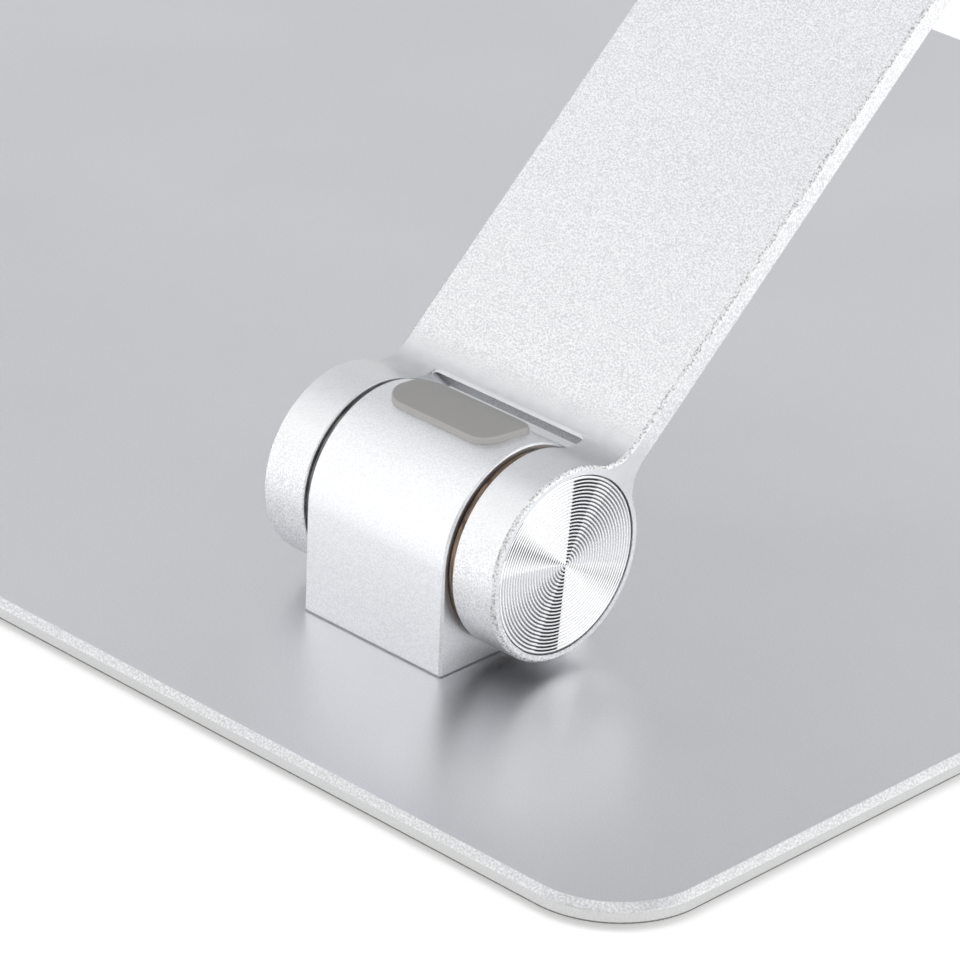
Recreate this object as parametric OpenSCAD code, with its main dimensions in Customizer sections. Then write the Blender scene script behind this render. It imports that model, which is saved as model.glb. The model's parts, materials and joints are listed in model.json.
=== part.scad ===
// Fold-flat tablet stand: base plate, two forked arms on friction hinges, tilting tray.
// Millimetres, +Z up, origin at the bottom centre of the base, front (user side) toward -Y.

/* [Base] */
// Width of the base plate
base_w = 288; // [240:1:320]
// Depth of the base plate
base_d = 246; // [230:1:260]
// Thickness of the base plate
plate_t = 2.6; // [2.4:0.1:4]
// Corner radius of the plates
corner_r = 13.5; // [8:0.5:20]
// Chamfer along the top edge of the base plate
edge_c = 0.9; // [0.4:0.1:1.2]
// Thickness of the silicone feet
foot_t = 1.0; // [0.8:0.1:2]

/* [Hinges] */
// Distance of each hinge centre from the middle of the stand
hinge_x = 73; // [66:1:82]
// Distance of the hinge axis from the rear edge of the base
rear_gap = 42; // [36:1:60]
// Height of the hinge axis above the plate it stands on
axis_h = 14.95; // [14.9:0.05:16]
// Radius of the barrel of the hinge block
block_r = 13.72; // [13.5:0.01:13.8]
// Width of the hinge block
block_w = 25.2; // [24:0.1:26]
// Radius of the fork knuckles
knuckle_r = 13.5; // [12.8:0.1:13.6]
// Chamfer on the knuckle ends
knuckle_c = 0.43; // [0.2:0.01:0.8]
// Gap filled by the bronze washer on the outer side
gap_out = 1.28; // [1.1:0.01:1.4]
// Gap filled by the steel washer on the inner side
gap_in = 0.92; // [0.8:0.01:1.1]
// Radius of the decorative cap
cap_r = 12.2; // [11:0.1:12.4]
// Thickness of the decorative cap
cap_t = 1.05; // [0.9:0.05:1.1]
// Radius of the hinge pin
pin_r = 3.0; // [2.5:0.1:3.2]

/* [Arms] */
// Width of each arm
arm_w = 42.3; // [42:0.1:46]
// Thickness of each arm
arm_t = 3.6; // [3:0.1:5]
// Distance between the lower and upper hinge axes
arm_len = 196; // [190:1:205]
// Distance from the hinge axis to the back wall of the fork
fork_s = 15.5; // [15.3:0.1:17]
// Radius of the fillet between the arm and a knuckle
neck_r = 6; // [4:0.5:8]
// Angle of the arms above the base as set up
arm_angle = 41.6; // [0:0.1:80]

/* [Tray] */
// Width of the tray
tray_w = 288; // [240:1:320]
// Depth of the tray
tray_d = 246; // [230:1:260]
// Distance of the hinge axis from the front edge of the tray
front_gap = 42; // [36:1:60]
// Tilt of the tray above level as set up, rear side up
tray_tilt = 20; // [10:0.5:40]
// Width of the ventilation window
window_w = 80; // [40:1:84]
// Length of the ventilation window
window_d = 120; // [60:1:140]
// Height of the front lips above the tray
lip_h = 20; // [10:1:25]
// Width of each front lip
lip_w = 46; // [30:1:60]
// Thickness of the silicone pads on the tray
pad_t = 1.0; // [0.6:0.1:2]

/* [Hidden] */
$fn = 96;

top_z = foot_t + plate_t;               // top face of the base plate
axis_y = base_d / 2 - rear_gap;         // lower hinge axis
axis_z = top_z + axis_h;
upper_y = axis_y - arm_len * cos(arm_angle);
upper_z = axis_z + arm_len * sin(arm_angle);
half_b = block_w / 2;
half_a = arm_w / 2;
in_out = half_b + gap_out;              // inner face of the outer knuckle
in_in = half_b + gap_in;                // inner face of the inner knuckle
cap_pocket = cap_t + 0.1;               // depth of the cap recess
bush_r = 4.5;
nut_r = 6.6;
head_r = 5.5;
screw_u = 7.5;                          // screws at +-7.5 mm along the block
eps = 0.01;

aluminium = [0.84, 0.85, 0.86];
anodised = [0.78, 0.79, 0.81];
silicone = [0.58, 0.57, 0.56];
steel = [0.55, 0.56, 0.58];
bronze = [0.62, 0.44, 0.27];

// ---------- placement ----------
// Puts a right-hand hinge item on both hinges, the left one mirrored.
module both() { children(); mirror([1, 0, 0]) children(); }
module side(s) { if (s < 0) mirror([1, 0, 0]) children(); else children(); }
// Lower hinge frame: x outward along the axis from the hinge centre.
module at_lower() { translate([hinge_x, axis_y, axis_z]) children(); }
module at_upper() { translate([hinge_x, upper_y, upper_z]) children(); }
// The arm lies along -Y when folded and swings up about its lower axis.
module on_arm() { rotate([-arm_angle, 0, 0]) children(); }
// Tray frame: origin on the upper axis, tray above it.
module on_tray() { rotate([tray_tilt, 0, 0]) children(); }
module tray_frame() { translate([0, upper_y, upper_z]) on_tray() children(); }
// Turns a Z axis solid along +X.
module along_x(u = 0) { translate([u, 0, 0]) rotate([0, 90, 0]) children(); }

// ---------- shared shapes ----------
module rrect(w, d, r) {
  square([w - 2 * r, d], center = true);
  square([w, d - 2 * r], center = true);
  for (i = [-1, 1]) for (j = [-1, 1]) translate([i * (w / 2 - r), j * (d / 2 - r)]) circle(r);
}

// Rounded plate with a chamfered top edge, standing on z = 0.
module chamfered_plate(w, d, t, r, c) {
  linear_extrude(t - c) rrect(w, d, r);
  translate([0, 0, t - c]) {
    for (i = [-1, 1]) for (j = [-1, 1])
      translate([i * (w / 2 - r), j * (d / 2 - r), 0]) cylinder(h = c, r1 = r, r2 = r - c);
    rotate([90, 0, 90]) translate([0, 0, -(w / 2 - r)]) linear_extrude(w - 2 * r)
      polygon([[-d / 2, 0], [d / 2, 0], [d / 2 - c, c], [-d / 2 + c, c]]);
    rotate([90, 0, 0]) translate([0, 0, -(d / 2 - r)]) linear_extrude(d - 2 * r)
      polygon([[-w / 2, 0], [w / 2, 0], [w / 2 - c, c], [-w / 2 + c, c]]);
  }
}

module tube(r_out, r_in, h) {
  difference() {
    cylinder(h = h, r = r_out);
    translate([0, 0, -1]) cylinder(h = h + 2, r = r_in);
  }
}

// Countersunk screw pointing up, head face on z = 0.
module flat_screw(len) {
  difference() {
    union() {
      cylinder(h = 2.0, r1 = 3.9, r2 = 2.0);
      translate([0, 0, 2.0 - eps]) cylinder(h = len - 2.0 - 0.4 + eps, r = 2.0);
      translate([0, 0, len - 0.4 - eps]) cylinder(h = 0.4 + eps, r1 = 2.0, r2 = 1.6);
    }
    translate([0, 0, -0.1]) cylinder(h = 1.5, r = 1.44, $fn = 6);
  }
}

// Clearance hole for that screw through a plate.
module screw_hole(t) {
  translate([0, 0, -0.001]) cylinder(h = 2.051, r1 = 4.0, r2 = 2.05);
  translate([0, 0, -1]) cylinder(h = t + 2, r = 2.05);
}

// Hinge block profile, axis at the origin, foot at y = -axis_h.
module block_profile() {
  difference() {
    union() {
      circle(block_r);
      translate([-block_r, -axis_h]) square([2 * block_r, axis_h]);
    }
    circle(bush_r);
  }
}

// Hinge block standing below the axis at the origin, two tapped holes in its foot.
module hinge_block() {
  difference() {
    rotate([90, 0, 90]) translate([0, 0, -half_b]) linear_extrude(block_w) block_profile();
    for (i = [-1, 1]) translate([i * screw_u, 0, -axis_h - 1]) cylinder(h = 8.4, r = 2.0);
  }
}

// Bumper pad bent over the crown of a block.
module block_pad() {
  intersection() {
    along_x(-10) tube(block_r + 0.9, block_r, 20);
    translate([0, -1.3, 5]) linear_extrude(20) rrect(19.8, 9.6, 3.6);
  }
}

module bush() { tube(bush_r, pin_r + 0.04, 9.6); }
module bush_pair() {
  along_x(half_b - 9.6) bush();
  along_x(-half_b) bush();
}

// Hinge pin: head in the outer knuckle, threaded end in the inner knuckle.
module hinge_pin() {
  difference() {
    union() {
      along_x(-19.7) cylinder(h = 19.7 + 16.5, r = pin_r);
      along_x(16.4) cylinder(h = 3.0, r = head_r);
      along_x(-19.9) cylinder(h = 0.2 + eps, r1 = pin_r - 0.2, r2 = pin_r);
    }
    along_x(17.6) cylinder(h = 3, r = 2.3, $fn = 6);
  }
}

module hinge_nut() {
  difference() {
    along_x(-19.7) cylinder(h = 2.4, r = 5.77, $fn = 6);
    along_x(-21) cylinder(h = 6, r = pin_r);
  }
}

// Two conical disc springs nested back to back under the nut.
module disc_springs() {
  along_x(-17.28) rotate_extrude()
    polygon([[3.15, 0.25], [3.15, 0.66], [5.7, 0.41], [5.7, 0.0]]);
  along_x(-16.6) rotate_extrude()
    polygon([[3.15, 0.0], [3.15, 0.41], [5.7, 0.66], [5.7, 0.25]]);
}

// Decorative cap, its face at z = cap_t, rim chamfered and centre dimpled.
module cap() {
  rotate_extrude() polygon([[0, 0], [cap_r, 0], [cap_r, cap_t - 0.25], [cap_r - 0.25, cap_t],
    [0.5, cap_t], [0, cap_t - 0.15]]);
}

// Fillet between a knuckle at the origin and the arm face at distance n, arm along +X.
module neck(n, rho) {
  nc = n + rho;
  sc = sqrt(pow(knuckle_r + rho, 2) - nc * nc);
  k = knuckle_r / (knuckle_r + rho);
  difference() {
    polygon([[0, 0], [k * sc, k * nc], [sc, n], [sc, 0]]);
    translate([sc, nc]) circle(rho);
  }
}

// Side profile of the whole arm, lower axis at the origin, arm along +X.
module arm_profile() {
  n_up = arm_t / 2 + 0.165;
  n_dn = arm_t / 2 - 0.165;
  translate([8, -n_dn]) square([arm_len - 16, arm_t]);
  for (e = [0, 1]) translate([e * arm_len, 0]) mirror([e, 0]) {
    neck(n_up, neck_r);
    mirror([0, 1]) neck(n_dn, neck_r - 1);
  }
}

// Everything removed from one end of the arm, axis at the origin, fork open toward +Y.
module fork_cuts() {
  // opening between the knuckles, corners rounded
  translate([0, 0, -20]) linear_extrude(40) {
    translate([-in_in, -fork_s + 1]) square([in_in + in_out, 60]);
    translate([-in_in + 1, -fork_s]) square([in_in + in_out - 2, 20]);
    translate([-in_in + 1, -fork_s + 1]) circle(1);
    translate([in_out - 1, -fork_s + 1]) circle(1);
  }
  along_x(half_a - cap_pocket) cylinder(h = 5, r = cap_r + 0.15);
  along_x(-half_a - 5 + cap_pocket) cylinder(h = 5, r = cap_r + 0.15);
  along_x(16.4) cylinder(h = 8, r = nut_r - 0.6);
  along_x(-15.9 - 8) cylinder(h = 8, r = nut_r);
  along_x(-25) cylinder(h = 50, r = pin_r + 0.02);
}

// One arm as on the right side, folded flat along -Y from the lower axis.
module arm_solid() {
  difference() {
    union() {
      rotate([90, 0, -90]) translate([0, 0, -half_a]) linear_extrude(arm_w) arm_profile();
      for (e = [0, 1]) translate([0, -e * arm_len, 0]) along_x(-half_a) rotate_extrude()
        polygon([[0, 0], [knuckle_r - knuckle_c, 0], [knuckle_r, knuckle_c],
          [knuckle_r, arm_w - knuckle_c], [knuckle_r - knuckle_c, arm_w], [0, arm_w]]);
    }
    fork_cuts();
    translate([0, -arm_len, 0]) mirror([0, 1, 0]) fork_cuts();
    // chamfers along the four long edges of the bar
    for (i = [-1, 1]) for (z = [arm_t / 2 + 0.165, -arm_t / 2 + 0.165])
      translate([i * half_a, -arm_len / 2, z]) rotate([0, 45, 0])
        cube([0.5, arm_len - 44, 0.5], center = true);
  }
}

// ---------- base ----------
module base_plate() {
  color(anodised) difference() {
    translate([0, 0, foot_t]) chamfered_plate(base_w, base_d, plate_t, corner_r, edge_c);
    both() for (i = [-1, 1]) translate([hinge_x + i * screw_u, axis_y, foot_t]) screw_hole(plate_t);
  }
}

module base_feet() {
  color(silicone) both() for (y = [axis_y, -base_d / 2 + 30])
    translate([hinge_x + (y > 0 ? 0 : 22), y, 0]) linear_extrude(foot_t) rrect(y > 0 ? 60 : 50, 16, 7.9);
}

module lower_block(s) { color(aluminium) side(s) at_lower() hinge_block(); }
module lower_block_pads() { color(silicone) both() at_lower() block_pad(); }
module lower_block_screws() {
  color(steel) both() for (i = [-1, 1])
    translate([hinge_x + i * screw_u, axis_y, foot_t]) flat_screw(plate_t + 7.2);
}
module lower_bushes() { color(bronze) both() at_lower() bush_pair(); }

// ---------- arms ----------
module arm(s) { color(aluminium) side(s) at_lower() on_arm() arm_solid(); }
module lower_pins() { color(steel) both() at_lower() on_arm() hinge_pin(); }
module lower_nuts() { color(steel) both() at_lower() on_arm() hinge_nut(); }
module lower_disc_springs() { color(steel) both() at_lower() on_arm() disc_springs(); }
module bronze_washer() { along_x(half_b + 0.04) tube(12.8, pin_r + 0.1, gap_out - 0.04); }
module steel_washer() { along_x(-in_in) tube(12.8, pin_r + 0.1, gap_in - 0.04); }
module outer_cap() { along_x(half_a - cap_pocket) cap(); }
module inner_cap() { mirror([1, 0, 0]) outer_cap(); }
module lower_bronze_washers() { color(bronze) both() at_lower() on_arm() bronze_washer(); }
module lower_steel_washers() { color(steel) both() at_lower() on_arm() steel_washer(); }
module lower_outer_caps() { color(aluminium) both() at_lower() on_arm() outer_cap(); }
module lower_inner_caps() { color(aluminium) both() at_lower() on_arm() inner_cap(); }
module upper_pins() { color(steel) both() at_upper() on_arm() hinge_pin(); }
module upper_nuts() { color(steel) both() at_upper() on_arm() hinge_nut(); }
module upper_disc_springs() { color(steel) both() at_upper() on_arm() disc_springs(); }
module upper_bronze_washers() { color(bronze) both() at_upper() on_arm() bronze_washer(); }
module upper_steel_washers() { color(steel) both() at_upper() on_arm() steel_washer(); }
module upper_outer_caps() { color(aluminium) both() at_upper() on_arm() outer_cap(); }
module upper_inner_caps() { color(aluminium) both() at_upper() on_arm() inner_cap(); }

// ---------- tray ----------
tray_cy = tray_d / 2 - front_gap;      // middle of the tray behind the upper axis
window_cy = tray_cy + 14;
lip_x = 84;
bend_r = 4;

// Front lip bent up from the tray, outer face at y = -front_gap.
module lip() {
  difference() {
    // outer block of the bend and wall
    translate([lip_x - lip_w / 2, -front_gap, axis_h])
      cube([lip_w, bend_r + 3, plate_t + lip_h]);
    // inner space in front of the tray face
    translate([lip_x - lip_w / 2 - 1, -front_gap + plate_t, axis_h + bend_r])
      cube([lip_w + 2, bend_r + 6, lip_h + 10]);
    translate([lip_x - lip_w / 2 - 1, -front_gap + bend_r, axis_h + plate_t])
      cube([lip_w + 2, bend_r + 6, lip_h + 10]);
    translate([lip_x - lip_w / 2 - 1, -front_gap + bend_r, axis_h + bend_r])
      rotate([0, 90, 0]) cylinder(h = lip_w + 2, r = bend_r - plate_t);
    // outer bend
    translate([lip_x - lip_w / 2 - 1, -front_gap - 1, axis_h - 1]) difference() {
      cube([lip_w + 2, bend_r + 1, bend_r + 1]);
      translate([-1, bend_r + 1, bend_r + 1]) rotate([0, 90, 0]) cylinder(h = lip_w + 4, r = bend_r);
    }
    // rounded top corners
    for (i = [0, 1]) translate([lip_x + (i ? 1 : -1) * lip_w / 2, 0, axis_h + plate_t + lip_h])
      mirror([i ? 0 : 1, 0, 0]) translate([-7, -front_gap - 1, -7]) difference() {
        cube([8, 20, 8]);
        translate([0, -1, 0]) rotate([-90, 0, 0]) cylinder(h = 22, r = 7);
      }
  }
}

module tray_plate() {
  color(anodised) tray_frame() difference() {
    union() {
      difference() {
        translate([0, tray_cy, axis_h]) chamfered_plate(tray_w, tray_d, plate_t, corner_r, 0.5);
        // the sheet is cut back where the lips bend up
        both() translate([lip_x - lip_w / 2, -front_gap - 1, axis_h - 1]) cube([lip_w, 1 + bend_r, 10]);
      }
      both() lip();
    }
    translate([0, window_cy, axis_h - 1]) linear_extrude(plate_t + 2) rrect(window_w, window_d, 10);
    both() for (i = [-1, 1]) translate([hinge_x + i * screw_u, 0, axis_h + plate_t])
      mirror([0, 0, 1]) screw_hole(plate_t);
  }
}

module tray_pads() {
  color(silicone) tray_frame() both()
    translate([hinge_x, tray_cy + 5, axis_h + plate_t]) linear_extrude(pad_t) rrect(24, 190, 7.9);
}

module lip_pads() {
  color(silicone) tray_frame() both()
    translate([lip_x, -front_gap + plate_t, axis_h + bend_r + 8]) rotate([-90, 0, 0])
      linear_extrude(pad_t) rrect(lip_w - 8, 12, 5.9);
}

module upper_block(s) {
  color(aluminium) side(s) at_upper() on_tray() mirror([0, 0, 1]) hinge_block();
}
module upper_block_pads() {
  color(silicone) both() at_upper() on_tray() mirror([0, 0, 1]) block_pad();
}
module upper_block_screws() {
  color(steel) tray_frame() both() for (i = [-1, 1])
    translate([hinge_x + i * screw_u, 0, axis_h + plate_t]) mirror([0, 0, 1]) flat_screw(plate_t + 7.2);
}
module upper_bushes() { color(bronze) both() at_upper() on_tray() bush_pair(); }

base_plate();
base_feet();
lower_block(-1);  // lower_block_left
lower_block(1);  // lower_block_right
lower_block_pads();
lower_block_screws();
lower_bushes();
arm(-1);  // arm_left
arm(1);  // arm_right
lower_pins();
lower_nuts();
lower_disc_springs();
lower_bronze_washers();
lower_steel_washers();
lower_outer_caps();
lower_inner_caps();
upper_pins();
upper_nuts();
upper_disc_springs();
upper_bronze_washers();
upper_steel_washers();
upper_outer_caps();
upper_inner_caps();
tray_plate();
tray_pads();
lip_pads();
upper_block(-1);  // upper_block_left
upper_block(1);  // upper_block_right
upper_block_pads();
upper_block_screws();
upper_bushes();
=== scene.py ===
import json
import math

import bmesh
import bpy
from mathutils import Matrix, Vector


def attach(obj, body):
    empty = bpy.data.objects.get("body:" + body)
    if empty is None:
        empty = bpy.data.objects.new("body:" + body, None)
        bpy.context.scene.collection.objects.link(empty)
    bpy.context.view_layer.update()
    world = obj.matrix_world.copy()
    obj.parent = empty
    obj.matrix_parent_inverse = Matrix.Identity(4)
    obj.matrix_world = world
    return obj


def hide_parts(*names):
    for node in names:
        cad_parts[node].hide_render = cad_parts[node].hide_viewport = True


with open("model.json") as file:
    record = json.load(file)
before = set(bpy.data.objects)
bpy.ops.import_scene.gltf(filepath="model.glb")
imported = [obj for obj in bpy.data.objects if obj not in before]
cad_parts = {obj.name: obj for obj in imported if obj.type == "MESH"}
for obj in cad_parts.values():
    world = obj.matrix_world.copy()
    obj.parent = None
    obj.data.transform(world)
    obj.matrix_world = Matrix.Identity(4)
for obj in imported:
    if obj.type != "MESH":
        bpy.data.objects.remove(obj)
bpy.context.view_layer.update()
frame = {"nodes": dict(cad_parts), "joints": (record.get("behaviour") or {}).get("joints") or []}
scene = bpy.context.scene
MM = 0.001

# ---------------------------------------------------------------- sizes, mm
BASE_W, BASE_D, PLATE_T, CORNER_R, EDGE_C, FOOT_T = 288.0, 246.0, 2.6, 13.5, 0.9, 1.0
HINGE_X, AXIS_H = 73.0, 14.95
BLOCK_R, BLOCK_W = 13.72, 25.2
KN_R, KN_C = 13.5, 0.43
GAP_OUT, GAP_IN = 1.28, 0.92
CAP_R, CAP_T = 12.2, 1.05
PIN_R, BUSH_R = 3.0, 4.5
ARM_W, ARM_T, ARM_L = 42.3, 3.6, 196.0
FORK_S, NECK_R = 15.5, 6.0
WIN_W, WIN_D, LIP_H, LIP_W, LIP_X, PAD_T = 80.0, 120.0, 20.0, 46.0, 84.0, 1.0
FRONT_GAP, BEND_R = 42.0, 4.0
TRAY_W, TRAY_D = 288.0, 246.0
HALF_B, HALF_A = BLOCK_W / 2, ARM_W / 2
IN_OUT, IN_IN = HALF_B + GAP_OUT, HALF_B + GAP_IN
POCKET = CAP_T + 0.1
TOP_Z = FOOT_T + PLATE_T

JOINTS = {j["name"]: j for j in frame["joints"]}
LOW = [v / MM for v in JOINTS["lower_hinge"]["pos_m"]]
UPP = [v / MM for v in JOINTS["upper_hinge"]["pos_m"]]
ARM_ANG = math.atan2(UPP[2] - LOW[2], LOW[1] - UPP[1])      # arm above the base, as set up
TILT = math.radians(-JOINTS["upper_hinge"]["range_deg"][0]) - ARM_ANG
TRAY_CY = TRAY_D / 2 - FRONT_GAP
WIN_CY = TRAY_CY + 14


# ---------------------------------------------------------------- mesh helpers
def arc(cx, cy, r, a0, a1, n, ends=True):
    """Points on an arc, degrees, n steps."""
    k = range(0, n + 1) if ends else range(1, n)
    return [(cx + r * math.cos(math.radians(a0 + (a1 - a0) * i / n)),
             cy + r * math.sin(math.radians(a0 + (a1 - a0) * i / n))) for i in k]


def rrect(w, d, r, inset=0.0, seg=20, cx=0.0, cy=0.0):
    """Outline of a rounded rectangle, counter-clockwise, always the same point count."""
    hw, hd = w / 2 - inset, d / 2 - inset
    rr = max(r - inset, 0.0)
    pts = []
    for sx, sy, a in ((1, 1, 0), (-1, 1, 90), (-1, -1, 180), (1, -1, 270)):
        pts += arc(cx + sx * (hw - rr), cy + sy * (hd - rr), rr, a, a + 90, seg)
    return pts


def new_bm():
    return bmesh.new()


def loft(bm, rings, cap=(True, True)):
    """Quads between rings of equal length; n-gons close the ends."""
    vs = [[bm.verts.new(p) for p in ring] for ring in rings]
    n = len(vs[0])
    for a, b in zip(vs, vs[1:]):
        for i in range(n):
            j = (i + 1) % n
            bm.faces.new((a[i], a[j], b[j], b[i]))
    if cap[0]:
        bm.faces.new(list(reversed(vs[0])))
    if cap[1]:
        bm.faces.new(vs[-1])
    return vs


def lathe(bm, prof, seg, u0=0.0):
    """Solid of revolution about +X. prof: (x, r) from one end to the other, r may be 0 at the ends."""
    rings = []
    for x, r in prof:
        if r <= 1e-9:
            rings.append([bm.verts.new((u0 + x, 0, 0))])
        else:
            rings.append([bm.verts.new((u0 + x, r * math.cos(2 * math.pi * i / seg), r * math.sin(2 * math.pi * i / seg)))
                          for i in range(seg)])
    for a, b in zip(rings, rings[1:]):
        for i in range(seg):
            j = (i + 1) % seg
            if len(a) == 1 and len(b) == 1:
                continue
            if len(a) == 1:
                bm.faces.new((a[0], b[j], b[i]))
            elif len(b) == 1:
                bm.faces.new((a[i], a[j], b[0]))
            else:
                bm.faces.new((a[i], a[j], b[j], b[i]))
    return rings


def finish_bm(bm, name, smooth=True, sharp=None):
    """Object from a bmesh in millimetres, placed by the caller's transform already."""
    bmesh.ops.recalc_face_normals(bm, faces=bm.faces)
    for f in bm.faces:
        f.smooth = smooth
    if sharp is not None:
        lim = math.radians(sharp)
        for e in bm.edges:
            if len(e.link_faces) == 2 and e.calc_face_angle(0.0) > lim:
                e.smooth = False
    bmesh.ops.scale(bm, vec=(MM, MM, MM), verts=bm.verts)
    me = bpy.data.meshes.new(name)
    bm.to_mesh(me)
    bm.free()
    ob = bpy.data.objects.new(name, me)
    scene.collection.objects.link(ob)
    return ob


def place(bm, side, where, ang):
    """Hinge frame (x outward, axis at the origin) to the row frame."""
    if side < 0:
        bmesh.ops.transform(bm, matrix=Matrix.Scale(-1, 4, (1, 0, 0)), verts=bm.verts)
        bmesh.ops.reverse_faces(bm, faces=bm.faces)
    m = Matrix.Translation(Vector((side * HINGE_X, where[1], where[2]))) @ Matrix.Rotation(ang, 4, "X")
    bmesh.ops.transform(bm, matrix=m, verts=bm.verts)


def tray_place(bm):
    m = Matrix.Translation(Vector((0, UPP[1], UPP[2]))) @ Matrix.Rotation(TILT, 4, "X")
    bmesh.ops.transform(bm, matrix=m, verts=bm.verts)


def cut(bm, cutter):
    """bm minus cutter, both closed, by the exact solver."""
    a = bpy.data.meshes.new("cut_a"); bmesh.ops.recalc_face_normals(bm, faces=bm.faces); bm.to_mesh(a); bm.free()
    b = bpy.data.meshes.new("cut_b"); bmesh.ops.recalc_face_normals(cutter, faces=cutter.faces); cutter.to_mesh(b); cutter.free()
    oa = bpy.data.objects.new("cut_a", a); ob = bpy.data.objects.new("cut_b", b)
    scene.collection.objects.link(oa); scene.collection.objects.link(ob)
    m = oa.modifiers.new("b", "BOOLEAN")
    m.operation, m.solver, m.object = "DIFFERENCE", "EXACT", ob
    dg = bpy.context.evaluated_depsgraph_get()
    dg.update()
    me = bpy.data.meshes.new_from_object(oa.evaluated_get(dg))
    out = bmesh.new()
    out.from_mesh(me)
    bpy.data.objects.remove(oa); bpy.data.objects.remove(ob)
    for x in (a, b, me):
        bpy.data.meshes.remove(x)
    return out


def join(bm, other):
    a = bpy.data.meshes.new("u_a"); bmesh.ops.recalc_face_normals(bm, faces=bm.faces); bm.to_mesh(a); bm.free()
    b = bpy.data.meshes.new("u_b"); bmesh.ops.recalc_face_normals(other, faces=other.faces); other.to_mesh(b); other.free()
    oa = bpy.data.objects.new("u_a", a); ob = bpy.data.objects.new("u_b", b)
    scene.collection.objects.link(oa); scene.collection.objects.link(ob)
    m = oa.modifiers.new("b", "BOOLEAN")
    m.operation, m.solver, m.object = "UNION", "EXACT", ob
    dg = bpy.context.evaluated_depsgraph_get()
    dg.update()
    me = bpy.data.meshes.new_from_object(oa.evaluated_get(dg))
    out = bmesh.new()
    out.from_mesh(me)
    bpy.data.objects.remove(oa); bpy.data.objects.remove(ob)
    for x in (a, b, me):
        bpy.data.meshes.remove(x)
    return out


def tidy(bm, dist=1e-3):
    """Closes what a boolean leaves open: doubled points, slivers and pin-holes."""
    bmesh.ops.remove_doubles(bm, verts=bm.verts, dist=dist)
    bmesh.ops.dissolve_degenerate(bm, edges=bm.edges, dist=dist)
    rim = [e for e in bm.edges if len(e.link_faces) == 1]
    if rim:
        bmesh.ops.holes_fill(bm, edges=rim, sides=12)
    spare = [f for f in bm.faces if f.calc_area() < 1e-9]
    if spare:
        bmesh.ops.dissolve_degenerate(bm, edges=bm.edges, dist=dist * 2)
    bmesh.ops.delete(bm, geom=[e for e in bm.edges if not e.link_faces], context="EDGES")
    bmesh.ops.delete(bm, geom=[v for v in bm.verts if not v.link_edges], context="VERTS")
    return bm


def weighted(ob):
    m = ob.modifiers.new("weighted", "WEIGHTED_NORMAL")
    m.keep_sharp = True
    m.weight = 50
    return ob


def cyl_x(bm, x0, x1, r, seg=96):
    return lathe(bm, [(x0, 0), (x0, r), (x1, r), (x1, 0)], seg)


# ---------------------------------------------------------------- pieces
def rounded_prism(outline, z_rings):
    """Rings of outline(inset) at heights z. Support rings keep the flats flat."""
    bm = new_bm()
    loft(bm, [[(x, y, z) for x, y in outline(i)] for i, z in z_rings])
    return bm


def soft_edges(z0, z1, r, n=4, bottom=True, top=True):
    """(inset, z) pairs for a slab with rounded top and bottom edges of radius r, flats supported."""
    out = []
    if bottom:
        out += [(r + 0.05, z0), (r, z0)]
        out += [(r - r * math.sin(math.pi / 2 * k / n), z0 + r - r * math.cos(math.pi / 2 * k / n)) for k in range(1, n + 1)]
    else:
        out += [(0.0, z0)]
    out += [(0.0, z0 + r + 0.05 if bottom else z0 + 0.05), (0.0, z1 - r - 0.02)] if z1 - z0 > 2 * r + 0.1 else []
    if top:
        out += [(r - r * math.cos(math.pi / 2 * k / n), z1 - r + r * math.sin(math.pi / 2 * k / n)) for k in range(0, n + 1)]
        out += [(r + 0.05, z1)]
    else:
        out += [(0.0, z1)]
    return out


def chamfer_edges(z0, z1, c, b=0.15):
    """(inset, z): small round at the bottom edge, chamfer c with softened lines at the top."""
    return [(b + 0.1, z0), (b, z0), (b * 0.3, z0 + b * 0.3), (0, z0 + b), (0, z0 + b + 0.14), (0, z0 + b + 0.2),
            (0, z1 - c - 0.12), (0.0, z1 - c - 0.05), (0.035, z1 - c + 0.035), (c - 0.035, z1 - 0.035), (c + 0.05, z1), (c + 0.12, z1)]


def arm_outline(c):
    """Side outline of the arm in (s, n) for an inset c, counter-clockwise."""
    n_up, n_dn = ARM_T / 2 + 0.165, ARM_T / 2 - 0.165
    rt, rb = NECK_R, NECK_R - 1
    nt, nb = n_up + rt, n_dn + rb
    st = math.sqrt((KN_R + rt) ** 2 - nt * nt)
    sb = math.sqrt((KN_R + rb) ** 2 - nb * nb)
    at, ab = math.degrees(math.atan2(nt, st)), math.degrees(math.atan2(nb, sb))
    r = KN_R - c
    half = arc(0, 0, r, at, 360 - ab, 110)                                # lower knuckle
    half += arc(sb, -nb, rb + c, 180 - ab, 90, 12)[1:]                    # lower fillet
    half += [(sb + 4, -nb + rb + c)]
    far = arc(ARM_L - sb, -nb, rb + c, 90, ab, 12)
    far = [(ARM_L - sb - 4, -nb + rb + c)] + far
    far += arc(ARM_L, 0, r, 180 + ab, 540 - at, 110)[1:]
    far += arc(ARM_L - st, nt, rt + c, -at, -90, 12)[1:]
    far += [(ARM_L - st - 4, nt - rt - c)]
    back = [(st + 4, nt - rt - c)] + arc(st, nt, rt + c, -90, -180 + at, 12)[:-1]
    return half + far + back


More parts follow.
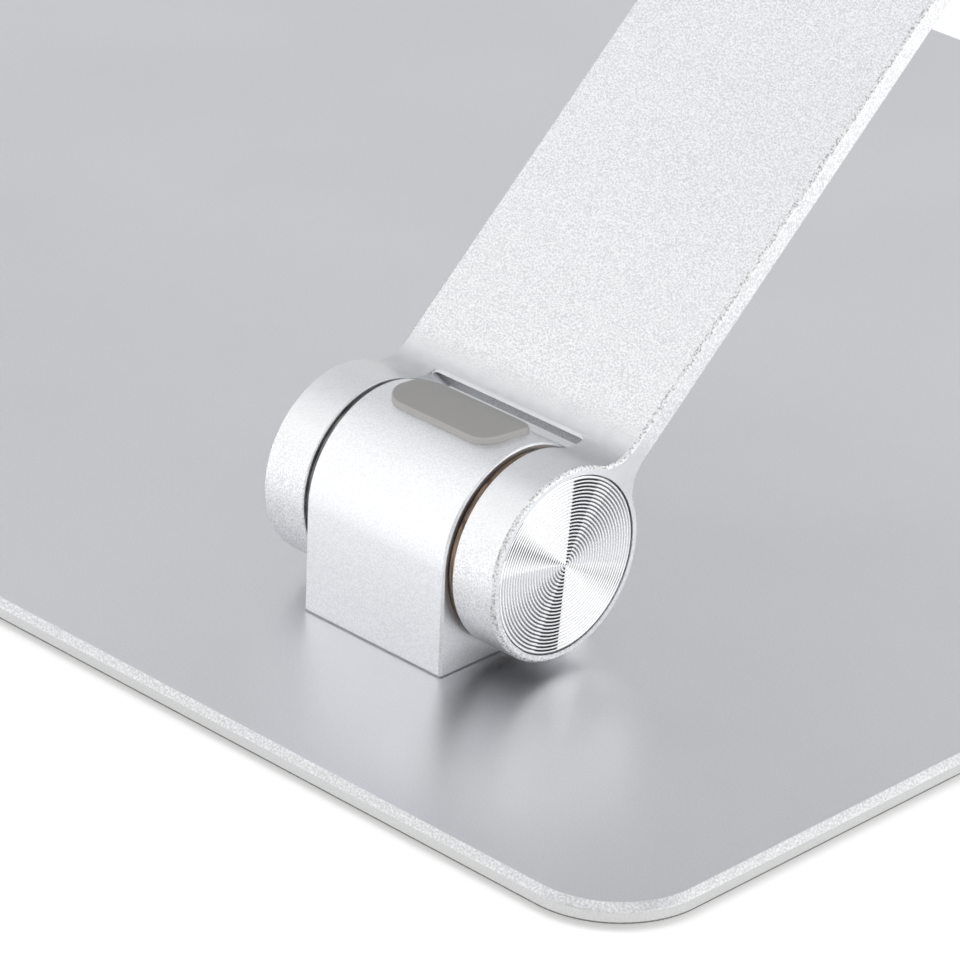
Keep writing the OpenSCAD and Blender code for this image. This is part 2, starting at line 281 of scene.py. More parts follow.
def arm_mesh():
    """Arm in the hinge frame, folded: s along -Y, n along +Z."""
    c = KN_C
    prof = [(0.0, c + 0.12), (0.0, c + 0.05), (0.035, c - 0.035), (c - 0.035, 0.035), (c + 0.05, 0.0), (c + 0.12, 0.0)]
    rings = []
    for dx, i in prof:
        rings.append([(-HALF_A + dx, -s, n) for s, n in arm_outline(i)])
    for dx, i in reversed(prof):
        rings.append([(HALF_A - dx, -s, n) for s, n in arm_outline(i)])
    bm = new_bm()
    loft(bm, rings)
    for e in (0, 1):
        def at(y):
            return -y if e == 0 else -ARM_L + y
        # fork opening, its far rim broken above and below
        def fork(ds):
            pts = [(-IN_IN, -30.0), (IN_OUT, -30.0)]
            pts += arc(IN_OUT - 0.8, FORK_S - 0.8 + ds, 0.8, 0, 90, 8)
            return pts + arc(-IN_IN + 0.8, FORK_S - 0.8 + ds, 0.8, 90, 180, 8)
        k = new_bm()
        loft(k, [[(x, at(y), z) for x, y in fork(ds)]
                 for z, ds in ((-20.0, 0.6), (-2.26, 0.6), (-1.66, 0.0), (2.17, 0.0), (2.31, 0.6), (20.0, 0.6))])
        bm = cut(bm, k)
        # the cheeks' inner edges, broken by 0.16 round the barrel
        up_a = math.degrees(math.atan2(ARM_T / 2 + 0.165 + NECK_R, math.sqrt((KN_R + NECK_R) ** 2 - (ARM_T / 2 + 0.165 + NECK_R) ** 2)))
        dn_r, dn_n = NECK_R - 1, ARM_T / 2 - 0.165 + NECK_R - 1
        dn_a = math.degrees(math.atan2(dn_n, math.sqrt((KN_R + dn_r) ** 2 - dn_n ** 2)))
        for xs, q in ((IN_OUT, 1), (-IN_IN, -1)):
            k = new_bm()
            loft(k, [[(xs + q * dx, at(r * math.cos(math.radians(a))), r * math.sin(math.radians(a)))
                      for dx, r in ((-0.02, KN_R + 0.3), (-0.02, KN_R - 0.18), (0.46, KN_R + 0.3))]
                     for a in [up_a + (360 - dn_a - up_a) * i / 110 for i in range(111)]])
            bm = cut(bm, k)
        for x0, x1, r, sg in ((HALF_A - POCKET, HALF_A + 3, CAP_R + 0.15, 160), (-HALF_A - 3, -HALF_A + POCKET, CAP_R + 0.15, 160),
                              (16.4, HALF_A - POCKET + 0.5, 6.0, 48), (-HALF_A + POCKET - 0.5, -15.9, 6.6, 48), (-25, 25, PIN_R, 48)):
            k = new_bm()
            a, b = min(x0, x1), max(x0, x1)
            cyl_x(k, a, b, r, sg)
            bmesh.ops.translate(k, vec=(0, at(0), 0), verts=k.verts)
            bm = cut(bm, k)
    tidy(bm)
    bmesh.ops.recalc_face_normals(bm, faces=bm.faces)
    for f in bm.faces:
        f.material_index = 0
    for f in bm.faces:
        c, n = f.calc_center_median(), f.normal
        if abs(c.x) > HALF_A - KN_C - 0.01 and 0.2 < abs(n.x) < 0.97 and math.hypot(c.y, c.z) > CAP_R + 0.5 \
                and math.hypot(c.y + ARM_L, c.z) > CAP_R + 0.5:
            f.material_index = 1
        elif abs(c.x) < IN_OUT - 0.01 and 0.3 < abs(n.z) < 0.85 and FORK_S - 0.9 < min(-c.y, ARM_L + c.y) < FORK_S + 0.5:
            f.material_index = 2
        elif abs(n.y) > 0.95 and abs(min(-c.y, ARM_L + c.y) - FORK_S) < 0.1 and abs(c.x) < IN_OUT:
            f.material_index = 3
    return bm


def block_outline(i, cut_foot=True):
    """D profile in (y, z), axis at the origin, inset i except at the foot."""
    r, g, h = BLOCK_R - i, 0.3, 0.2
    return [(r - g, -AXIS_H), (r - g, -AXIS_H + h), (r - 0.06, -AXIS_H + h), (r, -AXIS_H + h + 0.06), (r, -AXIS_H + 0.5), (r, -0.5)] \
        + arc(0, 0, r, 0, 180, 72) \
        + [(-r, -0.5), (-r, -AXIS_H + 0.5), (-r, -AXIS_H + h + 0.06), (-r + 0.06, -AXIS_H + h), (-r + g, -AXIS_H + h), (-r + g, -AXIS_H)]


def block_mesh():
    c = 0.28
    prof = [(0, c + .1), (0, c + .03), (.03, c - .03), (c - .03, .03), (c + .03, 0), (c + .1, 0)]
    rings = [[(-HALF_B + dx, y, z) for y, z in block_outline(i)] for dx, i in prof]
    rings += [[(HALF_B - dx, y, z) for y, z in block_outline(i)] for dx, i in reversed(prof)]
    bm = new_bm()
    loft(bm, rings)
    k = new_bm()
    cyl_x(k, -20, 20, BUSH_R, 64)
    bm = cut(bm, k)
    for s in (-1, 1):
        k = new_bm()
        a, b = sorted((s * (HALF_B - 0.3), s * (HALF_B + 1)))
        loft(k, [[(x, y, z) for x, y in ((a, -20), (b, -20), (b, 20), (a, 20))] for z in (-AXIS_H - 1, -AXIS_H + 0.18)])
        bm = cut(bm, k)
    return tidy(bm)


def block_pad_mesh():
    """Silicone bumper bent over the barrel: plan outline 19.8 x 9.6, corners 3.6."""
    w, d, r, cy, e = 19.8, 9.6, 3.6, -1.3, 0.24
    lo, hi = BLOCK_R, BLOCK_R + 0.9

    def ring(i, rad):
        return [(x, y, math.sqrt(rad * rad - y * y)) for x, y in rrect(w, d, r, i, 14, 0, cy)]
    rings = [ring(0.5, lo + 0.002), ring(0.0, lo + 0.002), ring(0.0, lo + 0.06), ring(0.0, hi - e - 0.05)]
    for k in range(0, 7):
        a = math.pi / 2 * k / 6
        rings.append(ring(e - e * math.cos(a), hi - e + e * math.sin(a)))
    for i in (0.35, 0.6, 1.0, 1.5, 2.0, 2.6, 3.2, 3.8, 4.3, 4.7):
        rings.append(ring(i, hi))
    bm = new_bm()
    loft(bm, rings)
    tidy(bm)
    bmesh.ops.recalc_face_normals(bm, faces=bm.faces)
    for f in bm.faces:
        c = f.calc_center_median()
        # index 1 marks the sides and rounded edge, which get the lighter painted-light silicone
        f.material_index = 1 if f.normal.dot(Vector((0, c.y, c.z)).normalized()) < 0.93 else 0
    return bm


GROOVES, G_R0, G_R1, G_D = 24, 0.25, 11.95, 0.08


def cap_mesh(seg=168):
    """Turned cap about +X, outer face at x = CAP_T, concentric scalloped grooves."""
    prof = [(0.0, 0.0), (0.0, CAP_R - 0.1), (0.1, CAP_R), (CAP_T - 0.22, CAP_R), (CAP_T - 0.08, CAP_R - 0.05),
            (CAP_T - 0.02, CAP_R - 0.12), (CAP_T - 0.005, CAP_R - 0.19)]
    pitch = (G_R1 - G_R0) / GROOVES
    for g in range(GROOVES, 0, -1):
        r_out = G_R0 + pitch * g
        # narrow flat crest, then a V-shaped groove with flanks at about 25 degrees
        for t, z in ((0.0, 0.0), (0.15, 0.0), (0.49, -G_D), (0.51, -G_D), (0.85, 0.0)):
            prof.append((CAP_T - 0.005 + z, r_out - pitch * t))
    prof.append((CAP_T - 0.005, G_R0))
    prof.append((CAP_T - 0.09, 0.1))
    prof.append((CAP_T - 0.11, 0.0))
    bm = new_bm()
    lathe(bm, prof, seg)
    # painted shade on the turned face: darker in the valleys of the grooves, strongest in two opposite wedges, standing
    # in for the grooves' dark reflections
    tone = bm.verts.layers.float.new("painted_groove_shade")
    for v in bm.verts:
        r = math.hypot(v.co.y, v.co.z)
        depth = (CAP_T - 0.005 - v.co.x) / G_D if r < CAP_R - 0.2 and v.co.x > CAP_T - 0.2 else 0.0
        # the painted shade mask: two opposite wedges that fade over 80 degrees, a narrow sector and a faint one across
        # from it
        psi = (math.degrees(math.atan2(-v.co.y, v.co.z)) - math.degrees(ARM_ANG)) % 360.0
        wedge_shade = max(0.30, 1.0 - abs(psi - 300.0) / 20.0, 0.60 - abs(psi - 120.0) / 60.0)
        if psi % 180.0 > 5.5:
            wedge_shade = max(wedge_shade, 1.0 - 0.70 * (psi % 180.0 - 5.5) / 80.0)
        v[tone] = min(max(depth, 0.0), 1.0) * wedge_shade
    return bm


def washer_mesh(t, r_out=12.8):
    e = 0.12
    bm = new_bm()
    lo, hi = PIN_R + 0.1, r_out
    prof = [(0, lo), (0, hi - e - .05), (0, hi - e), (0.3 * e, hi - 0.3 * e), (e, hi), (e + .03, hi), (t - e - .03, hi), (t - e, hi),
            (t - 0.3 * e, hi - 0.3 * e), (t, hi - e), (t, hi - e - .05), (t, lo), (0, lo)]
    seg = 128
    rings = []
    for x, r in prof[:-1]:
        rings.append([bm.verts.new((x, r * math.cos(2 * math.pi * i / seg), r * math.sin(2 * math.pi * i / seg))) for i in range(seg)])
    rings.append(rings[0])
    for a, b in zip(rings, rings[1:]):
        for i in range(seg):
            j = (i + 1) % seg
            bm.faces.new((a[i], a[j], b[j], b[i]))
    return bm


def lip_mesh(x0, x1, z0, z1, c=0.35):
    """Lip standing on a 90 degree bend, every long edge broken by c, top corners of 7 mm."""
    t, r, zb, zt = PLATE_T, BEND_R, z0 + BEND_R, z1 + LIP_H

    def outline(i):
        return [(x0 + i, zb), (x1 - i, zb)] + arc(x1 - 7, zt - 7, 7 - i, 0, 90, 12) + arc(x0 + 7, zt - 7, 7 - i, 90, 180, 12)
    bm = new_bm()
    loft(bm, [[(x, -FRONT_GAP + d, z) for x, z in outline(i)]
              for d, i in ((0, c + 0.1), (0, c), (c, 0), (t - c, 0), (t, c), (t, c + 0.1))])
    bmesh.ops.delete(bm, geom=[f for f in bm.faces if all(abs(v.co.z - zb) < 1e-6 for v in f.verts)], context="FACES")
    sec = [(x0 + c, r), (x0 + c + 0.1, r), (x1 - c - 0.1, r), (x1 - c, r), (x1, r - c), (x1, r - t + c), (x1 - c, r - t),
           (x1 - c - 0.1, r - t), (x0 + c + 0.1, r - t), (x0 + c, r - t), (x0, r - t + c), (x0, r - c)]
    rings = []
    for k in range(13):
        a = math.radians(180 + 90 * k / 12)
        rings.append([(x, -FRONT_GAP + r + q * math.cos(a), zb + q * math.sin(a)) for x, q in sec])
    rings.append([(x, y + 1.2, z) for x, y, z in rings[-1]])
    loft(bm, rings, cap=(False, True))
    bmesh.ops.remove_doubles(bm, verts=bm.verts, dist=1e-5)
    return bm


def tray_mesh():
    """Tray in its own frame: underside at z = AXIS_H, front edge at y = -FRONT_GAP."""
    z0, z1 = AXIS_H, AXIS_H + PLATE_T
    bm = rounded_prism(lambda i: rrect(TRAY_W, TRAY_D, CORNER_R, i, 24, 0, TRAY_CY), chamfer_edges(z0, z1, 0.5, 0.3))
    # window, with its edges broken
    k = new_bm()
    loft(k, [[(x, y, z) for x, y in rrect(WIN_W, WIN_D, 10, i, 20, 0, WIN_CY)]
             for z, i in ((z0 - 2, -0.85), (z0 - 0.5, -0.85), (z0 + 0.35, 0), (z1 - 0.35, 0), (z1 + 0.5, -0.85), (z1 + 2, -0.85))])
    bm = cut(bm, k)
    for s in (-1, 1):
        # the sheet is cut back with a 1 mm bend relief at each side, and the bent lip joins it
        x0, x1 = s * LIP_X - LIP_W / 2, s * LIP_X + LIP_W / 2
        k = new_bm()
        loft(k, [[(x, y, z) for x, y in ((x0 - 1, -FRONT_GAP - 3), (x1 + 1, -FRONT_GAP - 3), (x1 + 1, -FRONT_GAP + BEND_R + 0.5), (x0 - 1, -FRONT_GAP + BEND_R + 0.5))]
                 for z in (z0 - 2, z1 + 2)])
        bm = cut(bm, k)
        bm = join(bm, lip_mesh(x0, x1, z0, z1))
    return tidy(bm)


def pad_strip(w, d, r, cx, cy, z0, t, e=0.3):
    return rounded_prism(lambda i: rrect(w, d, r, i, 14, cx, cy), soft_edges(z0, z0 + t, e, 5, bottom=False))


# ---------------------------------------------------------------- materials
def mat(name):
    m = bpy.data.materials.new(name)
    m.use_nodes = True
    nt = m.node_tree
    return m, nt, nt.nodes["Principled BSDF"]


def node(nt, kind, **kw):
    n = nt.nodes.new(kind)
    for k, v in kw.items():
        if k in n.inputs.keys():
            n.inputs[k].default_value = v
        else:
            setattr(n, k, v)
    return n


def coords(nt):
    return nt.nodes.new("ShaderNodeTexCoord").outputs["Object"]


def ramp(nt, src, stops):
    r = nt.nodes.new("ShaderNodeValToRGB")
    e = r.color_ramp.elements
    while len(e) < len(stops):
        e.new(0.5)
    for el, (p, c) in zip(e, stops):
        el.position = p
        el.color = (c, c, c, 1) if isinstance(c, (int, float)) else (*c, 1)
    nt.links.new(src, r.inputs["Fac"])
    return r.outputs["Color"]


def ramp_range(nt, src, stops):
    """Smooth step between two values of src."""
    r = nt.nodes.new("ShaderNodeMapRange")
    r.interpolation_type = "SMOOTHSTEP"
    (r.inputs["From Min"].default_value, r.inputs["To Min"].default_value), \
        (r.inputs["From Max"].default_value, r.inputs["To Max"].default_value) = stops
    nt.links.new(src, r.inputs["Value"])
    return r.outputs["Result"]


def noise(nt, co, scale, detail=2.0, rough=0.5):
    n = node(nt, "ShaderNodeTexNoise", Scale=scale, Detail=detail, Roughness=rough)
    nt.links.new(co, n.inputs["Vector"])
    return n.outputs["Fac"]


def mixc(nt, fac, a, b):
    m = nt.nodes.new("ShaderNodeMix")
    m.data_type = "RGBA"
    for sock, v in ((m.inputs[0], fac), (m.inputs[6], a), (m.inputs[7], b)):
        if isinstance(v, bpy.types.NodeSocket):
            nt.links.new(v, sock)
        elif sock.type == "RGBA":
            sock.default_value = (*v, 1)
        else:
            sock.default_value = v
    return m.outputs[2]


def metal(name, base, dark, rough, grain, grain_mm, bump_d, neck_shade=None, rvar=0.04):
    """Blasted, anodised aluminium: fine pitted grain in colour, roughness and height."""
    m, nt, b = mat(name)
    co = coords(nt)
    b.inputs["Metallic"].default_value = 1.0
    fine = noise(nt, co, 1000.0 / grain_mm, 2.0, 0.6)
    mid = noise(nt, co, 1000.0 / (grain_mm * 9), 3.0, 0.55)
    big = noise(nt, co, 18.0, 2.0, 0.5)
    f = ramp(nt, fine, [(0.5 - grain, 0.0), (0.5 + grain, 1.0)])
    c = mixc(nt, f, dark, base)
    if neck_shade:
        # painted shade: round the knuckles the grain gives way to a greyer tone, turning to a flat darker grey from 9
        # to 14 mm out and fading back to the grain from 16.5 to 21.5 mm
        d = (0.0, -math.cos(ARM_ANG), math.sin(ARM_ANG))
        dot = node(nt, "ShaderNodeVectorMath", operation="DOT_PRODUCT")
        dot.inputs[1].default_value = d
        nt.links.new(co, dot.inputs[0])
        s0 = node(nt, "ShaderNodeMath", operation="SUBTRACT")
        s0.inputs[1].default_value = (d[1] * LOW[1] + d[2] * LOW[2]) * MM
        nt.links.new(dot.outputs["Value"], s0.inputs[0])
        s1 = node(nt, "ShaderNodeMath", operation="SUBTRACT")
        s1.inputs[0].default_value = ARM_L * MM
        nt.links.new(s0.outputs[0], s1.inputs[1])
        s2 = node(nt, "ShaderNodeMath", operation="MINIMUM")
        nt.links.new(s0.outputs[0], s2.inputs[0])
        nt.links.new(s1.outputs[0], s2.inputs[1])
        z = ramp_range(nt, s2.outputs[0], ((-9 * MM, 0.0), (-1 * MM, 1.0)))
        z2 = ramp_range(nt, s2.outputs[0], ((16.5 * MM, 1.0), (21.5 * MM, 0.0)))
        mu = node(nt, "ShaderNodeMath", operation="MULTIPLY")
        nt.links.new(z, mu.inputs[0])
        nt.links.new(z2, mu.inputs[1])
        neck_shade_colour = mixc(nt, ramp_range(nt, s2.outputs[0], ((9 * MM, 0.0), (14 * MM, 1.0))), mixc(nt, f, neck_shade[1], neck_shade[0]), neck_shade[2])
        c = mixc(nt, mu.outputs[0], c, neck_shade_colour)
    c = mixc(nt, ramp(nt, mid, [(0.3, 0.0), (0.7, 0.25)]), c, tuple(x * 0.95 for x in base))
    nt.links.new(c, b.inputs["Base Color"])
    r = nt.nodes.new("ShaderNodeMapRange")
    r.inputs["From Min"].default_value, r.inputs["From Max"].default_value = 0.3, 0.7
    r.inputs["To Min"].default_value, r.inputs["To Max"].default_value = rough - rvar, rough + rvar
    nt.links.new(big, r.inputs["Value"])
    nt.links.new(r.outputs["Result"], b.inputs["Roughness"])
    bp = node(nt, "ShaderNodeBump", Strength=1.0, Distance=bump_d * MM)
    nt.links.new(fine, bp.inputs["Height"])
    nt.links.new(bp.outputs["Normal"], b.inputs["Normal"])
    return m


def spun_metal():
    m, nt, b = mat("spun_aluminium")
    co = coords(nt)
    b.inputs["Metallic"].default_value = 1.0
    f = noise(nt, co, 5200, 2.0, 0.6)
    at = nt.nodes.new("ShaderNodeAttribute")
    at.attribute_name = "painted_groove_shade"
    skin = mixc(nt, f, (0.92, 0.92, 0.92), (0.98, 0.98, 0.98))
    # painted shade: the painted_groove_shade attribute darkens the base colour towards near black in the valleys of the
    # grooves
    nt.links.new(mixc(nt, ramp(nt, at.outputs["Fac"], [(0.0, 0.0), (0.22, 0.20), (0.7, 1.0)]), skin, (0.02, 0.02, 0.02)), b.inputs["Base Color"])
    r = nt.nodes.new("ShaderNodeMapRange")
    r.inputs["To Min"].default_value, r.inputs["To Max"].default_value = 0.05, 0.10
    nt.links.new(noise(nt, co, 900, 2.0), r.inputs["Value"])
    nt.links.new(r.outputs["Result"], b.inputs["Roughness"])
    return m


def silicone_mat(name, k):
    m, nt, b = mat(name)
    co = coords(nt)
    f = noise(nt, co, 2600, 3.0, 0.6)
    g = noise(nt, co, 160, 2.0)
    c = mixc(nt, f, (0.33 * k, 0.324 * k, 0.318 * k), (0.37 * k, 0.363 * k, 0.356 * k))
    c = mixc(nt, ramp(nt, g, [(0.35, 0.0), (0.65, 0.35)]), c, (0.35 * k, 0.343 * k, 0.337 * k))
    nt.links.new(c, b.inputs["Base Color"])
    b.inputs["Roughness"].default_value = 0.62
    b.inputs["Specular IOR Level"].default_value = 0.35
    bp = node(nt, "ShaderNodeBump", Strength=0.5, Distance=0.02 * MM)
    nt.links.new(f, bp.inputs["Height"])
    nt.links.new(bp.outputs["Normal"], b.inputs["Normal"])
    return m


def turned_mat(name, light, dark, rough):
    """Turned bronze or steel: rings of tone about the part's own axis."""
    m, nt, b = mat(name)
    co = coords(nt)
    b.inputs["Metallic"].default_value = 1.0
    sep = nt.nodes.new("ShaderNodeSeparateXYZ")
    nt.links.new(co, sep.inputs[0])
    cmb = nt.nodes.new("ShaderNodeCombineXYZ")
    mu = node(nt, "ShaderNodeMath", operation="MULTIPLY")
    mu.inputs[1].default_value = 9.0
    nt.links.new(sep.outputs[0], mu.inputs[0])
    nt.links.new(mu.outputs[0], cmb.inputs[0])
    nt.links.new(sep.outputs[1], cmb.inputs[1])
    nt.links.new(sep.outputs[2], cmb.inputs[2])
    f = noise(nt, cmb.outputs[0], 420, 4.0, 0.65)
    c = mixc(nt, ramp(nt, f, [(0.35, 0.0), (0.65, 1.0)]), dark, light)
    nt.links.new(c, b.inputs["Base Color"])
    r = nt.nodes.new("ShaderNodeMapRange")
    r.inputs["To Min"].default_value, r.inputs["To Max"].default_value = rough - 0.08, rough + 0.1
    nt.links.new(f, r.inputs["Value"])
    nt.links.new(r.outputs["Result"], b.inputs["Roughness"])
    return m


def cut_edge(name, lo, mid, hi, rough, grain_mm, metallic=1.0, bump_d=0.05):
    """Chamfer cut through the anodised skin: torn, sparkling grain."""
    m, nt, b = mat(name)
    co = coords(nt)
    b.inputs["Metallic"].default_value = metallic
    f = noise(nt, co, 1000.0 / grain_mm, 2.0, 0.65)
    c = ramp(nt, f, [(0.42, lo), (0.47, mid), (0.53, mid), (0.57, hi)])
    nt.links.new(c, b.inputs["Base Color"])
    r = nt.nodes.new("ShaderNodeMapRange")
    r.inputs["To Min"].default_value, r.inputs["To Max"].default_value = rough - 0.12, rough + 0.12
    nt.links.new(noise(nt, co, 1000.0 / (grain_mm * 2.2), 2.0), r.inputs["Value"])
    nt.links.new(r.outputs["Result"], b.inputs["Roughness"])
    bp = node(nt, "ShaderNodeBump", Strength=1.0, Distance=bump_d * MM)
    nt.links.new(f, bp.inputs["Height"])
    nt.links.new(bp.outputs["Normal"], b.inputs["Normal"])
    return m


PLATE = metal("anodised_plate", (0.75, 0.76, 0.785), (0.71, 0.72, 0.745), 0.36, 0.12, 0.30, 0.015)
# painted shade: the side walls get a darker copy of the plate finish
SIDE_SHADE = metal("plate_side_painted_shade", (0.64, 0.645, 0.64), (0.58, 0.585, 0.58), 0.45, 0.12, 0.30, 0.012)
BLAST = metal("blasted_aluminium", (0.97, 0.975, 0.99), (0.86, 0.867, 0.888), 0.42, 0.085, 0.26, 0.03)
# neck_shade holds the painted shade tones for the knuckles and necks
ARM = metal("blasted_arm", (0.985, 0.99, 1.0), (0.72, 0.726, 0.744), 0.42, 0.065, 0.25, 0.025,
            neck_shade=((0.90, 0.91, 0.925), (0.84, 0.848, 0.862), (0.71, 0.718, 0.732)))
EDGE = cut_edge("cut_edge", (0.52, 0.52, 0.53), (0.93, 0.935, 0.95), (1.0, 1.0, 1.0), 0.42, 0.30)
RIM = cut_edge("slot_rim", (0.45, 0.45, 0.46), (1.0, 1.0, 1.0), (1.0, 1.0, 1.0), 0.34, 0.36, 1.0, 0.10)
WALL = metal("milled_wall", (0.76, 0.765, 0.78), (0.50, 0.505, 0.52), 0.5, 0.10, 0.30, 0.02)
PEDGE = cut_edge("cut_plate_edge", (0.66, 0.665, 0.68), (0.74, 0.745, 0.76), (0.86, 0.865, 0.88), 0.48, 0.30, 1.0, 0.03)
# painted shade: a dark sheet on the underside and bottom round makes the dark line under the plate's edge
UNDER_SHADE = metal("underside_painted_shade", (0.25, 0.25, 0.24), (0.16, 0.16, 0.15), 0.55, 0.12, 0.4, 0.01)
SPUN = spun_metal()
SILI = silicone_mat("silicone_grey", 1.12)
# painted light: the bumpers' sides get a lighter copy of the silicone
SILI_LIT_SIDE = silicone_mat("silicone_painted_lit_side", 1.42)
BRONZE = turned_mat("bronze", (0.34, 0.25, 0.185), (0.06, 0.044, 0.032), 0.4)
STEEL = turned_mat("steel", (0.26, 0.26, 0.26), (0.06, 0.06, 0.06), 0.4)
ZINC = turned_mat("zinc_steel", (0.60, 0.60, 0.61), (0.45, 0.45, 0.46), 0.35)


def give(ob, m, body, nodes):
    for one in (m if isinstance(m, tuple) else (m,)):
        ob.data.materials.append(one)
    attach(ob, body)
    if nodes:
        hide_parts(*nodes)
    return ob


# ---------------------------------------------------------------- base
bm = rounded_prism(lambda i: rrect(BASE_W, BASE_D, CORNER_R, i, 32), chamfer_edges(FOOT_T, TOP_Z, EDGE_C, 0.15))
bmesh.ops.recalc_face_normals(bm, faces=bm.faces)
for f in bm.faces:
    z = f.calc_center_median().z
    # slot 2, UNDER_SHADE, is a painted shade line along the bottom edge
    f.material_index = 1 if 0.2 < f.normal.z < 0.97 else 2 if z < FOOT_T + 0.3 else 3 if f.normal.z < 0.2 else 0
# slot 3, SIDE_SHADE, paints shade on the side walls
give(weighted(finish_bm(bm, "base_sheet")), (PLATE, PEDGE, UNDER_SHADE, SIDE_SHADE), "base", ["base_plate"])

bm = new_bm()
for sx in (-1, 1):
    for w, cx, cy in ((60, sx * HINGE_X, LOW[1]), (50, sx * (HINGE_X + 22), -BASE_D / 2 + 30)):
        zr = [(i, FOOT_T - z) for i, z in soft_edges(0.0, FOOT_T, 0.3, 5, bottom=False)]
        loft(bm, [[(x, y, z) for x, y in rrect(w, 16, 7.9, i, 14, cx, cy)] for i, z in zr])
give(finish_bm(bm, "rubber_feet"), SILI, "base", ["base_feet"])

for where, ang, flip, body, tag in ((LOW, 0.0, False, "base", "lower"), (UPP, TILT, True, "tray", "upper")):
    bmp = new_bm()
    pads = []
    for side, sname in ((-1, "left"), (1, "right")):
        bm = block_mesh()
        if flip:
            bmesh.ops.transform(bm, matrix=Matrix.Scale(-1, 4, (0, 0, 1)), verts=bm.verts)
        place(bm, side, where, ang)
        ob = finish_bm(bm, f"{tag}_hinge_block_{sname}", sharp=50)
        weighted(ob)
        give(ob, BLAST, body, [f"{tag}_block_{sname}"])
        bm = block_pad_mesh()
        if flip:
            bmesh.ops.transform(bm, matrix=Matrix.Scale(-1, 4, (0, 0, 1)), verts=bm.verts)
        place(bm, side, where, ang)
        pads.append(finish_bm(bm, f"{tag}_bumper_{sname}"))
    for p in pads:
        give(p, (SILI, SILI_LIT_SIDE), body, [f"{tag}_block_pads"])

# ---------------------------------------------------------------- arms
arm = arm_mesh()
arm_me = bpy.data.meshes.new("arm_template")
arm.to_mesh(arm_me)
arm.free()
for side, sname in ((-1, "left"), (1, "right")):
    bm = bmesh.new()
    bm.from_mesh(arm_me)
    place(bm, side, LOW, -ARM_ANG)
    ob = finish_bm(bm, f"forked_arm_{sname}", sharp=40)
    weighted(ob)
    give(ob, (ARM, EDGE, RIM, WALL), "arms", [f"arm_{sname}"])
bpy.data.meshes.remove(arm_me)

for where, tag in ((LOW, "lower"), (UPP, "upper")):
    for side, sname in ((-1, "left"), (1, "right")):
        for maker, u, flip, nodes, mt, sl, nm in (
                (lambda: washer_mesh(GAP_OUT - 0.34, 12.95), HALF_B + 0.17, False, f"{tag}_bronze_washers", BRONZE, "bronze", "friction_washer"),
                (lambda: washer_mesh(GAP_IN - 0.2, 13.05), -IN_IN + 0.10, False, f"{tag}_steel_washers", STEEL, "steel", "thrust_washer"),
                (cap_mesh, HALF_A - POCKET, False, f"{tag}_outer_caps", SPUN, "spun_cap", "outer_cap"),
                (cap_mesh, HALF_A - POCKET, True, f"{tag}_inner_caps", SPUN, "spun_cap", "inner_cap")):
            bm = maker()
            bmesh.ops.translate(bm, vec=(u, 0, 0), verts=bm.verts)
            if flip:
                bmesh.ops.transform(bm, matrix=Matrix.Scale(-1, 4, (1, 0, 0)), verts=bm.verts)
                bmesh.ops.reverse_faces(bm, faces=bm.faces)
            place(bm, side, where, -ARM_ANG)
            ob = finish_bm(bm, f"{tag}_{nm}_{sname}", sharp=50 if "washer" in nm else 14)
            give(ob, mt, "arms", [nodes])

# ---------------------------------------------------------------- tray
bm = tray_mesh()
bmesh.ops.recalc_face_normals(bm, faces=bm.faces)
# slot 2 is SIDE_SHADE: painted shade on the side walls and the lips' edges
for f in bm.faces:
    c, n = f.calc_center_median(), f.normal
    qx, qy = abs(c.x) - (TRAY_W / 2 - CORNER_R), abs(c.y - TRAY_CY) - (TRAY_D / 2 - CORNER_R)
    rim = (math.hypot(qx, qy) if qx > 0 and qy > 0 else max(qx, qy)) - CORNER_R > -1.0
    at_lip = abs(abs(c.x) - LIP_X) < LIP_W / 2 + 0.4 and c.y < -FRONT_GAP + BEND_R + 1.3
    if at_lip:
        f.material_index = 2 if abs(n.x) > 0.9 or (c.z > AXIS_H + PLATE_T + LIP_H - 7.5 and abs(n.y) < 0.3) else \
            1 if c.z > AXIS_H + BEND_R and 0.3 < abs(n.y) < 0.9 else 0
    elif 0.2 < n.z < 0.97 and (rim or (abs(c.x) < WIN_W / 2 + 1 and abs(c.y - WIN_CY) < WIN_D / 2 + 1)):
        f.material_index = 1
    else:
        f.material_index = 2 if abs(n.z) < 0.3 else 0
tray_place(bm)
ob = finish_bm(bm, "tray_sheet", sharp=50)
weighted(ob)
give(ob, (PLATE, PEDGE, SIDE_SHADE), "tray", ["tray_plate"])

for side, sname in ((-1, "left"), (1, "right")):
    bm = pad_strip(24, 190, 7.9, side * HINGE_X, TRAY_CY + 5, AXIS_H + PLATE_T, PAD_T)
    tray_place(bm)
    give(finish_bm(bm, f"tray_strip_{sname}"), SILI, "tray", ["tray_pads"])
    # lip pad: drawn flat, then stood up against the lip
    bm = pad_strip(LIP_W - 8, 12, 5.9, 0, 0, 0, PAD_T)
    m = Matrix.Translation(Vector((side * LIP_X, -FRONT_GAP + PLATE_T, AXIS_H + BEND_R + 8))) @ Matrix.Rotation(-math.pi / 2, 4, "X")
    bmesh.ops.transform(bm, matrix=m, verts=bm.verts)
    tray_place(bm)
    give(finish_bm(bm, f"lip_pad_{sname}"), SILI, "tray", ["lip_pads"])

